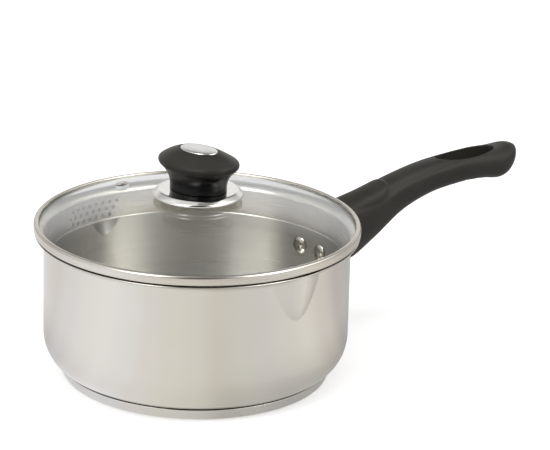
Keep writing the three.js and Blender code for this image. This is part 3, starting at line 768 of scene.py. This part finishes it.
def station(column, out):
    """A smooth curve through one column of the stations."""
    xs, ys = STATIONS[:, 0], STATIONS[:, column]
    upper = min(max(int(np.searchsorted(xs, out)), 1), len(xs) - 1)

    def slope(i):
        a, b = max(i - 1, 0), min(i + 1, len(xs) - 1)
        return (ys[b] - ys[a]) / (xs[b] - xs[a])

    span = xs[upper] - xs[upper - 1]
    t = (out - xs[upper - 1]) / span
    return (
        ys[upper - 1] * (2 * t**3 - 3 * t**2 + 1)
        + ys[upper] * (3 * t**2 - 2 * t**3)
        + slope(upper - 1) * span * (t**3 - 2 * t**2 + t)
        + slope(upper) * span * (t**3 - t**2)
    )


def panel_inside(out, y):
    """1 inside the thumb panel's outline and 0 outside, with a soft edge."""
    straight = PANEL_LENGTH - PANEL_TIP
    if out <= straight:
        edge = PANEL_HALF - abs(y)
    else:
        reach = ((out - straight) / PANEL_TIP) ** PANEL_FULLNESS
        size = (reach + (abs(y) / PANEL_HALF) ** PANEL_FULLNESS) ** (1 / PANEL_FULLNESS)
        edge = (1 - size) * PANEL_HALF
    return ease(edge, -0.15, 0.75)


def crease(out, y):
    """The shallow crease that runs from the thumb panel along both sides to the slot."""
    along = ease(out, 20, 45) * (1 - ease(out, 96, 122))
    line = 8.6 + 2.3 * (1 - ease(out, 45, 66))
    return CREASE_DEPTH * along * math.exp(-(((abs(y) - line) / CREASE_WIDTH) ** 2))


def grip_point(out, angle):
    def from_end(length):
        return min(max((out - GRIP_END + length) / length, 0.0), 1.0)

    def closing(column, length):
        return END_HEIGHT + (station(column, out) - END_HEIGHT) * math.sqrt(1 - from_end(length) ** 2)

    top, bottom = closing(TOP, TOP_ROUNDING), closing(BOTTOM, BOTTOM_ROUNDING)
    narrow = (1 - from_end(END_ROUNDING) ** END_FULLNESS) ** (1 / END_FULLNESS)
    power = 2 / (ROOT_SQUARENESS + (SQUARENESS - ROOT_SQUARENESS) * ease(out, 0, ROOT_LENGTH))
    c, s = math.cos(angle), math.sin(angle)
    y = station(HALF_WIDTH, out) * narrow * math.copysign(abs(c) ** power, c)
    up = math.copysign(abs(s) ** power, s)
    z = (top + bottom) / 2 + (top - bottom) / 2 * up
    if up > 0:
        z += PANEL_STEP * panel_inside(out, y) * min(1.0, up * 3) - crease(out, y)
    return y, z


def grip_rings():
    """Sections across the grip, drawn together towards its rounded end."""
    straight = GRIP_END - END_ROUNDING
    stops = [-GRIP_INSET] + [straight * i / 190 for i in range(191)]
    stops += [straight + END_ROUNDING * math.sin(math.radians(88.5) * i / 40) for i in range(1, 41)]
    angles = [2 * math.pi * k / 112 for k in range(112)]
    return [
        [(WALL_OUTER + out, *grip_point(max(out, 0.0), angle)) for angle in angles]
        for out in stops
    ]


def slot_rings():
    """Sections through the hanging slot, narrowest at mid height and flared at its ends."""
    top, bottom = station(TOP, SLOT_MIDDLE), station(BOTTOM, SLOT_MIDDLE)
    angles = [2 * math.pi * k / 120 for k in range(120)]
    rings = []
    for i in range(25):
        height = -1.7 + 3.4 * i / 24  # in half heights of the grip
        flare = SLOT_FLARE * max(abs(height) - SLOT_FLARE_FROM, 0.0) ** 1.4
        grow = flare - SLOT_DRAFT * (1 - abs(height))
        long, short = SLOT_HALF[0] + grow, SLOT_HALF[1] + grow
        z = (top + bottom) / 2 + (top - bottom) / 2 * height
        rings.append([
            (WALL_OUTER + SLOT_MIDDLE + long * math.cos(a), short * math.sin(a), z) for a in angles
        ])
    return rings


def grip():
    """Lofted, cut to the wall and by the slot, then given a skin with soft edges."""
    thing = loft("handle_grip_fine", grip_rings(), BLACK)
    reach, height = WALL_OUTER + GAP, 160.0
    wall = [(0.0, 0.0), (reach, 0.0), (reach, height), (0.0, height)]
    cut(thing, lathe("wall_cutter", wall, [BLACK], steps=360))
    cut(thing, loft("slot_cutter", slot_rings(), BLACK))
    modify(thing, "REMESH", mode="VOXEL", voxel_size=0.55 * MM, use_smooth_shade=True)
    modify(thing, "SMOOTH", factor=0.5, iterations=6)
    apply_modifiers(thing)
    shade_smooth(thing)
    install(thing, "pot", "black_phenolic", "handle_grip")


# ---------------------------------------------------------------- lid


def rim_line():
    """The strip's outside from the top of the skirt, under and round the glass, and over it."""
    end = SKIRT_RADIUS + NECK_WIDTH
    outside = RIM_OUTER - RIM_CORNER
    line = arc(end, LEG_BOTTOM - NECK_HEIGHT, NECK_WIDTH, NECK_HEIGHT, 180, 90, 10)
    line += arc(outside, WEB_BOTTOM + RIM_CORNER, RIM_CORNER, RIM_CORNER, 270, 360, 7)
    line += arc(outside, CREST - RIM_CORNER, RIM_CORNER, RIM_CORNER, 0, 90, 7)
    line += arc(RIM_INNER + HEM_RADIUS, CREST - HEM_RADIUS, HEM_RADIUS, HEM_RADIUS, 90, 180, 5)
    line += [(RIM_INNER, HEM_BOTTOM)]
    return line


def rim_angles():
    """The sheet's columns: half a pitch apart among the holes and wider elsewhere."""
    step = PITCH / 2
    columns = sorted(centre + step * i for centre in STRAINERS for i in range(-12, 13))
    angles = []
    for a, b in zip(columns, columns[1:] + [columns[0] + 2 * math.pi]):
        angles.append(a)
        if b - a > step * 1.5:
            count = int(round((b - a) / math.radians(1.4)))
            angles += [a + (b - a) * i / count for i in range(1, count)]
    return np.array(angles)


def skirt_levels():
    """The sheet's rows on the skirt: one through each row of holes and one on each side."""
    heights = sorted(row[0] for row in HOLE_ROWS)
    between = [(a + b) / 2 for a, b in zip(heights, heights[1:])]
    return sorted([0.0, 0.5, heights[0] - 2.0] + heights + between + [heights[-1] + 2.0])


def on_skirt(angle, z):
    return (SKIRT_RADIUS * math.cos(angle), SKIRT_RADIUS * math.sin(angle), z)


def hole_points(angle, height):
    """A round hole's 24 points, from its lower corner on."""
    turns = [math.radians(-135 + 15 * k) for k in range(24)]
    z = SKIRT_BOTTOM + height
    return [
        on_skirt(angle + HOLE_RADIUS * math.cos(t) / SKIRT_RADIUS, z + HOLE_RADIUS * math.sin(t))
        for t in turns
    ]


def lid_rim():
    """A single sheet with holes in its skirt, given the strip's thickness by a modifier."""
    angles, levels = rim_angles(), skirt_levels()
    steps = len(angles)
    profile = [(SKIRT_RADIUS, SKIRT_BOTTOM + h) for h in levels]
    profile[0] = (SKIRT_RADIUS - SKIRT_TUCK, SKIRT_BOTTOM)
    profile += densify([profile[-1], (SKIRT_RADIUS, LEG_BOTTOM - NECK_HEIGHT)], 1.5)[1:-1]
    profile += rim_line()
    verts = [(r * math.cos(a), r * math.sin(a), z) for r, z in profile for a in angles]

    def at(row, column):
        return row * steps + column % steps

    taken, faces = set(), []
    for height, count, shift in HOLE_ROWS:
        row = levels.index(height)
        for centre in STRAINERS:
            for i in range(count):
                angle = centre + (i - (count - 1) / 2 + shift) * PITCH
                column = int(np.argmin(np.abs(np.angle(np.exp(1j * (angles - angle))))))
                outline = [
                    at(row - 1, column - 1), at(row - 1, column), at(row - 1, column + 1),
                    at(row, column + 1), at(row + 1, column + 1), at(row + 1, column),
                    at(row + 1, column - 1), at(row, column - 1),
                ]
                taken |= {(r, c % steps) for r in (row - 1, row) for c in (column - 1, column)}
                start = len(verts)
                verts += hole_points(angles[column], height)
                for k in range(8):
                    hole = [start + (3 * k + j) % 24 for j in range(4)]
                    faces.append([outline[k], outline[(k + 1) % 8]] + hole[::-1])
    for r in range(len(profile) - 1):
        for c in range(steps):
            if (r, c) not in taken:
                faces.append([at(r, c), at(r, c + 1), at(r + 1, c + 1), at(r + 1, c)])
    sheet = make_object("lid_rim_fine", verts, faces, [RIM])
    turn_about_z(sheet, LID_TURN)
    modify(
        sheet, "SOLIDIFY", thickness=STRIP * MM, offset=-1.0,
        use_even_offset=True, use_quality_normals=True,
    )
    apply_modifiers(sheet)
    fix_normals(sheet)
    sharpen(sheet, 48)
    shade_smooth(sheet)
    install(sheet, "lid", "rim_steel", "lid_rim")


def lid_glass():
    """A dome with a ground edge, a hole for the knob's screw and one for the vent."""
    radii = np.linspace(KNOB_HOLE, GLASS_RADIUS, 60)
    under = [(r, glass_under(r)) for r in radii]
    upper = [(r, glass_top(r)) for r in radii[::-1]]
    middle = (GLASS_RADIUS, (under[-1][1] + upper[0][1]) / 2)
    edge = rounded([under[-1], middle, upper[0]], 0.4, 3)
    dome = lathe("lid_glass_fine", under + edge[1:-1] + upper, [GLASS], steps=320)
    hole = VENT_TUBE + GAP
    section = [(0.0, -2 * GLASS_THICK), (hole, -2 * GLASS_THICK), (hole, GLASS_THICK), (0.0, GLASS_THICK)]
    drill = lathe("vent_drill", section, [GLASS], steps=48)
    drill.data.transform(vent_place())
    cut(dome, drill)
    turn_about_z(dome, LID_TURN)
    sharpen(dome, 40)
    dome.visible_shadow = False
    install(dome, "lid", "clear_glass", "lid_glass")


def vent_place():
    tilt = math.asin(VENT_RADIUS / OUTER_SPHERE)
    lift = Matrix.Translation((0, VENT_RADIUS * MM, glass_top(VENT_RADIUS) * MM))
    return lift @ Matrix.Rotation(-tilt, 4, "X")


def vent_eyelet():
    """A tube with a flange on the glass, clinched over the washer under it."""
    seat = -GLASS_THICK - 2 * GAP - VENT_WASHER - GAP
    low, crown = seat - VENT_SHEET, GAP + VENT_SHEET
    section = rounded([
        (VENT_BORE, seat - 0.2), (VENT_BORE, low), (VENT_CLINCH, low), (VENT_CLINCH, seat),
        (VENT_TUBE, seat), (VENT_TUBE, GAP), (VENT_FLANGE, GAP), (VENT_FLANGE, 0.62),
        (3.3, crown), (2.0, crown), (VENT_BORE, GAP), (VENT_BORE, seat - 0.2),
    ], [0, 0.1, 0.15, 0.1, 0.1, 0.1, 0.1, 0.2, 0.3, 0.3, 0.2, 0], 3)
    thing = lathe("vent_eyelet_fine", section[:-1], [RIM], steps=48)
    thing.data.transform(vent_place())
    turn_about_z(thing, LID_TURN)
    sharpen(thing, 50)
    install(thing, "lid", "rim_steel", "vent_eyelet")


def knob_plate():
    """A pressed disc with a bevelled edge. Its underside is painted dark where it is flat, as painted
    shade.
    """
    flat = PLATE_RADIUS - PLATE_BEVEL
    inner = PLATE_RADIUS - PLATE_SHEET
    low = PLATE_BOTTOM - PLATE_BEVEL_DROP
    line = [(BOLT_HOLE, PLATE_BOTTOM), (flat, PLATE_BOTTOM), (inner, low), (inner, low - PLATE_LIP)]
    under = rounded(line, [0, 0.7, 0.35, 0], 5)
    section = under + offset_line(under, PLATE_SHEET)[::-1]
    # Painted shade: the flat part of the underside takes the dark material.
    slots = [1 if r < flat - 0.4 else 0 for r, z in under[1:]]
    slots += [0] * (len(section) - len(under) + 1)
    disc = lathe("knob_plate_fine", section, [CHROME, UNDERSIDE], steps=160, slots=slots)
    turn_about_z(disc, LID_TURN)
    sharpen(disc, 50)
    install(disc, "lid", "chrome_plate", "knob_plate")


def knob_ratio(z):
    """The knob's short axis as a share of its long axis, at a height."""
    h = z - FOOT
    neck = FOOT_RATIO + (NECK_RATIO - FOOT_RATIO) * ease(h, 0, NECK_TOP)
    head = neck + (HEAD_RATIO - neck) * ease(h, NECK_TOP, EQUATOR)
    return head + (CAP_RATIO - head) * ease(h, EQUATOR, SHOULDER)


def bezier(p0, p1, p2, steps):
    line = []
    for i in range(steps + 1):
        t = i / steps
        line.append(tuple(
            (1 - t) ** 2 * a + 2 * t * (1 - t) * b + t * t * c for a, b, c in zip(p0, p1, p2)
        ))
    return line


def knob_body():
    """A waisted neck under a full head, with a pocket for the cap and one for the insert."""
    def at(height):
        return FOOT + height

    rim = HEAD_HALF - EDGE_TUCK
    edge = CAP_HALF + GAP
    section = [(0.0, FOOT), (FOOT_HALF, FOOT)]
    section += bezier(
        (FOOT_HALF, at(FOOT_HEIGHT)), (NECK_HALF, at(NECK_TOP)), (rim, at(EQUATOR - EDGE_ROUND)), 12,
    )
    section += [(HEAD_HALF, at(EQUATOR))]
    section += bezier(
        (rim, at(EQUATOR + EDGE_ROUND)), (HEAD_HALF * DOME_REACH, at(SHOULDER - DOME_DROP)),
        (edge + 0.3, at(SHOULDER)), 10,
    )
    section += [(edge, at(SHOULDER - 0.25)), (edge, at(CAP_POCKET)), (0.0, at(CAP_POCKET))]
    radii = [0, 0.35] + [1.0] * 12 + [0.8, 1.4, 0.9] + [0.6] * 9 + [0.25, 0.2, 0.2, 0]
    line = densify(rounded(section, radii, 5), 0.9)
    thing = lathe("knob_body_fine", line, [BLACK_KNOB_PAINTED_LIGHT_AND_SHADE], steps=200, ratio=knob_ratio)
    radius, depth = INSERT_POCKET
    pocket = [(0.0, at(-5)), (radius, at(-5)), (radius, at(depth)), (0.0, at(depth))]
    cut(thing, lathe("pocket", pocket, [BLACK_KNOB_PAINTED_LIGHT_AND_SHADE], steps=48))
    turn_about_z(thing, LID_TURN)
    sharpen(thing, 45)
    install(thing, "lid", "black_phenolic", "knob_body")


def knob_cap():
    """An oval inlay with a low crown."""
    bottom, edge = FOOT + CAP_POCKET + GAP, FOOT + SHOULDER
    section = [(0.0, bottom), (CAP_HALF, bottom), (CAP_HALF, edge - 0.3)]
    section += arc(0, edge, CAP_HALF - CAP_ROUND, CAP_CROWN, 4, 90, 14)
    section[-1] = on_axis(section[-1])
    line = rounded(section, [0, 0.15, 0.2] + [0.02] * 20, 3)
    thing = lathe("knob_cap_fine", line, [CAP], steps=160, ratio=lambda z: CAP_RATIO)
    turn_about_z(thing, LID_TURN)
    sharpen(thing, 45)
    install(thing, "lid", "cap_steel", "knob_cap")


def knob_screw():
    """A domed head under the glass, with a cross in it, and a plain shank."""
    end = FOOT + SCREW_REACH
    section = arc(0, SCREW_SEAT, SCREW_HEAD, SCREW_HEAD_HEIGHT, 270, 355, 8)
    section += [(SCREW_HEAD - 0.05, SCREW_SEAT), (SCREW_SHANK, SCREW_SEAT)]
    section += [(SCREW_SHANK, end), (0.0, end)]
    section[0] = on_axis(section[0])
    thing = lathe("knob_screw_fine", section, [PLAIN], steps=64)
    for turn in (0, 90):
        slot = lathe("drive", [(0.0, -1.0), (1.0, -1.0), (0.6, 1.0), (0.0, 1.0)], [PLAIN], steps=4)
        slot.data.transform(
            Matrix.Translation((0, 0, (SCREW_SEAT - 2.2) * MM))
            @ Matrix.Rotation(math.radians(turn), 4, "Z")
            @ Matrix.Diagonal((2.4, 0.5, 1.0, 1.0))
        )
        cut(thing, slot)
    sharpen(thing, 50)
    install(thing, "lid", "brushed_steel", "knob_screw")


pot_shell()
base_capsule()
rivet(1, "handle_rivet_left")
rivet(-1, "handle_rivet_right")
grip()
lid_rim()
lid_glass()
vent_eyelet()
knob_plate()
knob_body()
knob_cap()
knob_screw()

dress("base_heat_disc", ALUMINIUM)
dress("handle_bracket", PLAIN)
dress("handle_screw", PLAIN)
dress("glass_edge_seal", SILICONE)
dress("vent_washer", SILICONE)
dress("knob_insert", BRASS)
# The upper gasket takes the painted shade.
dress("knob_gasket_upper", GASKET)
dress("knob_gasket_lower", SILICONE)
dress("knob_washer", PLAIN)


# ---------------------------------------------------------------- stage, light, camera

CAMERA_TURN = 41  # degrees from the object's own axes to the camera's frame

# Degrees round the object, counted in the camera's frame: 270 is towards the camera. The room
# has three layers: ROOM near the horizon, UPPER_ROOM above it and CEILING overhead.
ROOM = [
    (0, 0.75), (35, 0.60), (62, 0.90), (90, 0.98), (118, 0.86), (150, 0.65), (190, 0.9),
    (215, 1.25), (238, 0.8), (258, 0.12), (282, 0.12), (300, 0.7), (320, 1.25), (345, 1.0),
    (360, 0.75),
]
UPPER_ROOM = [
    (0, 2.1), (18, 2.2), (45, 0.7), (70, 0.16), (110, 0.16), (135, 0.6), (160, 1.1), (187, 0.8),
    (202, 1.0), (215, 2.9), (227, 6.6), (239, 5.4), (250, 0.5), (262, 0.03), (273, 0.01), (284, 0.02),
    (296, 0.1), (307, 0.5), (320, 3.7), (332, 6.9), (346, 4.2), (360, 2.1),
]
CEILING = [(0, 0.3), (60, 0.5), (150, 0.75), (215, 0.9), (262, 0.5), (300, 0.3), (360, 0.3)]
# Heights in the room, as the sine of the angle above the horizon. The lowest layer rises from
# HORIZON_DIM to its full light over SKYLINE, and the others take over across their own ranges.
HORIZON_DIM = 0.62
SKYLINE = (0.02, 0.27)
UPPER_START = (0.36, 0.56)
CEILING_START = (0.8, 0.97)

# The light that the steel mirrors from the floor.
FLOOR_TINT = [
    (0, (0.87, 0.84, 0.82)), (22, (0.645, 0.615, 0.62)), (53, (0.52, 0.53, 0.53)),
    (68, (0.54, 0.54, 0.54)), (95, (0.90, 0.90, 0.90)), (118, (0.93, 0.93, 0.95)),
    (136, (0.84, 0.855, 0.885)), (163, (0.90, 0.88, 0.895)), (183, (1.00, 1.02, 1.09)),
    (200, (1.10, 1.125, 1.17)), (216, (1.15, 1.165, 1.23)), (231, (1.08, 1.10, 1.18)),
    (244, (1.01, 0.995, 1.025)), (258, (0.97, 0.97, 0.94)), (271, (0.93, 0.93, 0.90)),
    (285, (0.845, 0.825, 0.79)), (299, (0.855, 0.86, 0.845)), (313, (0.865, 0.86, 0.875)),
    (327, (0.92, 0.92, 0.915)), (343, (0.99, 0.99, 0.965)), (360, (0.87, 0.84, 0.82)),
]
# Painted shadow: how much of that light is taken away on the floor next to the pan.
FLOOR_PAINTED_SHADOW = [
    (0, 0.52), (60, 0.5), (130, 0.5), (165, 0.44), (185, 0.30), (205, 0.18), (225, 0.03),
    (248, 0.0), (268, 0.06), (292, 0.22), (327, 0.36), (345, 0.48), (360, 0.52),
]
PAINTED_SHADOW_FADE = (0.07, 0.19)  # metres from the axis over which this shade ends


def build_world():
    """White to the eye, and a room with a dark side towards the camera to everything else."""
    world = bpy.data.worlds.new("studio")
    bpy.context.scene.world = world
    world.use_nodes = True
    n = Tree(world.node_tree)
    direction = n.place("Generated")
    azimuth = n.azimuth(direction)
    up = n.split(direction)[2]
    skyline = n.spread(up, HORIZON_DIM, 1.0, *SKYLINE, "SMOOTHSTEP")
    low = n.add("ShaderNodeVectorMath", {0: n.ramp(azimuth, ROOM), "Scale": skyline}, operation="SCALE")
    upper = n.spread(up, 0.0, 1.0, *UPPER_START, "SMOOTHSTEP")
    room = n.blend(upper, low.outputs[0], n.ramp(azimuth, UPPER_ROOM))
    overhead = n.spread(up, 0.0, 1.0, *CEILING_START, "SMOOTHSTEP")
    room = n.blend(overhead, room, n.ramp(azimuth, CEILING))
    mirrored = n.tree.nodes["Background"]
    n.put(mirrored.inputs["Color"], room)
    n.put(mirrored.inputs["Strength"], 1.0)
    white = n.add("ShaderNodeBackground", {"Color": grey(1.0), "Strength": 1.0})
    shown = n.mix(n.seen_by_eye(), mirrored.outputs[0], white.outputs[0])
    n.put(n.tree.nodes["World Output"].inputs[0], shown)


def build_floor():
    """White to the eye. What the steel mirrors of it is tinted, and darker next to the pan as a painted
    shadow.
    """
    bm = bmesh.new()
    bmesh.ops.create_grid(bm, x_segments=8, y_segments=8, size=4000 * MM)
    mesh = bpy.data.meshes.new("floor")
    bm.to_mesh(mesh)
    bm.free()
    floor = bpy.data.objects.new("floor", mesh)
    floor.location.z = -0.2 * MM
    bpy.context.scene.collection.objects.link(floor)
    n = Surface("floor_white", Base_Color=grey(0.72), Roughness=0.9, Specular_IOR_Level=0.0)
    mesh.materials.append(n.material)
    plain = n.shader.outputs[0]
    place = n.place()
    azimuth = n.azimuth(place)
    distance = n.add("ShaderNodeVectorMath", {0: place}, operation="LENGTH").outputs["Value"]
    # Painted shadow: the mirrored light is made darker next to the pan.
    near_pan_painted_shadow = n.spread(distance, 1.0, 0.0, *PAINTED_SHADOW_FADE, "SMOOTHSTEP")
    left = n.math("SUBTRACT", 1.0, n.math("MULTIPLY", near_pan_painted_shadow, n.ramp(azimuth, FLOOR_PAINTED_SHADOW)))
    tint = n.ramp(azimuth, FLOOR_TINT)
    glow = n.add("ShaderNodeEmission", {"Color": tint, "Strength": left}).outputs[0]
    lift = n.add("ShaderNodeEmission", {"Strength": 0.30}).outputs[0]
    shown = n.add("ShaderNodeAddShader", {0: plain, 1: lift}).outputs[0]
    glossy = n.add("ShaderNodeLightPath").outputs["Is Glossy Ray"]
    others = n.mix(glossy, plain, n.mix(0.9, plain, glow))
    whole = n.mix(n.seen_by_eye(), others, shown)
    n.put(n.tree.nodes["Material Output"].inputs[0], whole)


def add_lamp(name, degrees, elevation, distance, size, power):
    """A soft area lamp aimed at the pan. degrees are counted in the camera's frame."""
    turn = math.radians(degrees - CAMERA_TURN)
    lift = math.radians(elevation)
    data = bpy.data.lights.new(name, "AREA")
    data.shape = "DISK"
    data.size = size
    data.energy = power
    lamp = bpy.data.objects.new(name, data)
    aim = Vector((0.03, 0.0, 0.06))
    back = Vector((math.cos(turn) * math.cos(lift), math.sin(turn) * math.cos(lift), math.sin(lift)))
    lamp.location = aim + back * distance
    lamp.rotation_mode = "QUATERNION"
    lamp.rotation_quaternion = (-back).to_track_quat("-Z", "Y")
    lamp.visible_glossy = False
    bpy.context.scene.collection.objects.link(lamp)


def build_camera():
    """Looks 19.2 degrees down on the pan through a long lens, with a slight roll."""
    distance, tilt, roll = 1505.85, 0.335122, 0.0288292
    aim_x, aim_z = 45.48, 91.42
    forward = Vector((0, math.cos(tilt), -math.sin(tilt)))
    up = Vector((0, math.sin(tilt), math.cos(tilt)))
    right = Vector((1, 0, 0))
    place = Vector((aim_x, 0, aim_z)) - distance * forward
    tilted_right = right * math.cos(roll) + up * math.sin(roll)
    tilted_up = up * math.cos(roll) - right * math.sin(roll)
    axes = Matrix((tilted_right, tilted_up, -forward)).transposed().to_4x4()
    turn = Matrix.Rotation(math.radians(-CAMERA_TURN), 4, "Z")
    data = bpy.data.cameras.new("camera")
    data.sensor_width = 36.0
    data.lens = 167.6225
    data.clip_start = 0.05
    data.clip_end = 30.0
    camera = bpy.data.objects.new("camera", data)
    camera.matrix_world = turn @ Matrix.Translation(place * MM) @ axes
    bpy.context.scene.collection.objects.link(camera)
    bpy.context.scene.camera = camera


build_world()
build_floor()
add_lamp("key", 215, 55, 1.6, 0.9, 9.0)
add_lamp("top", 300, 80, 1.6, 1.2, 8.0)
build_camera()

bpy.context.scene.view_settings.view_transform = "Standard"
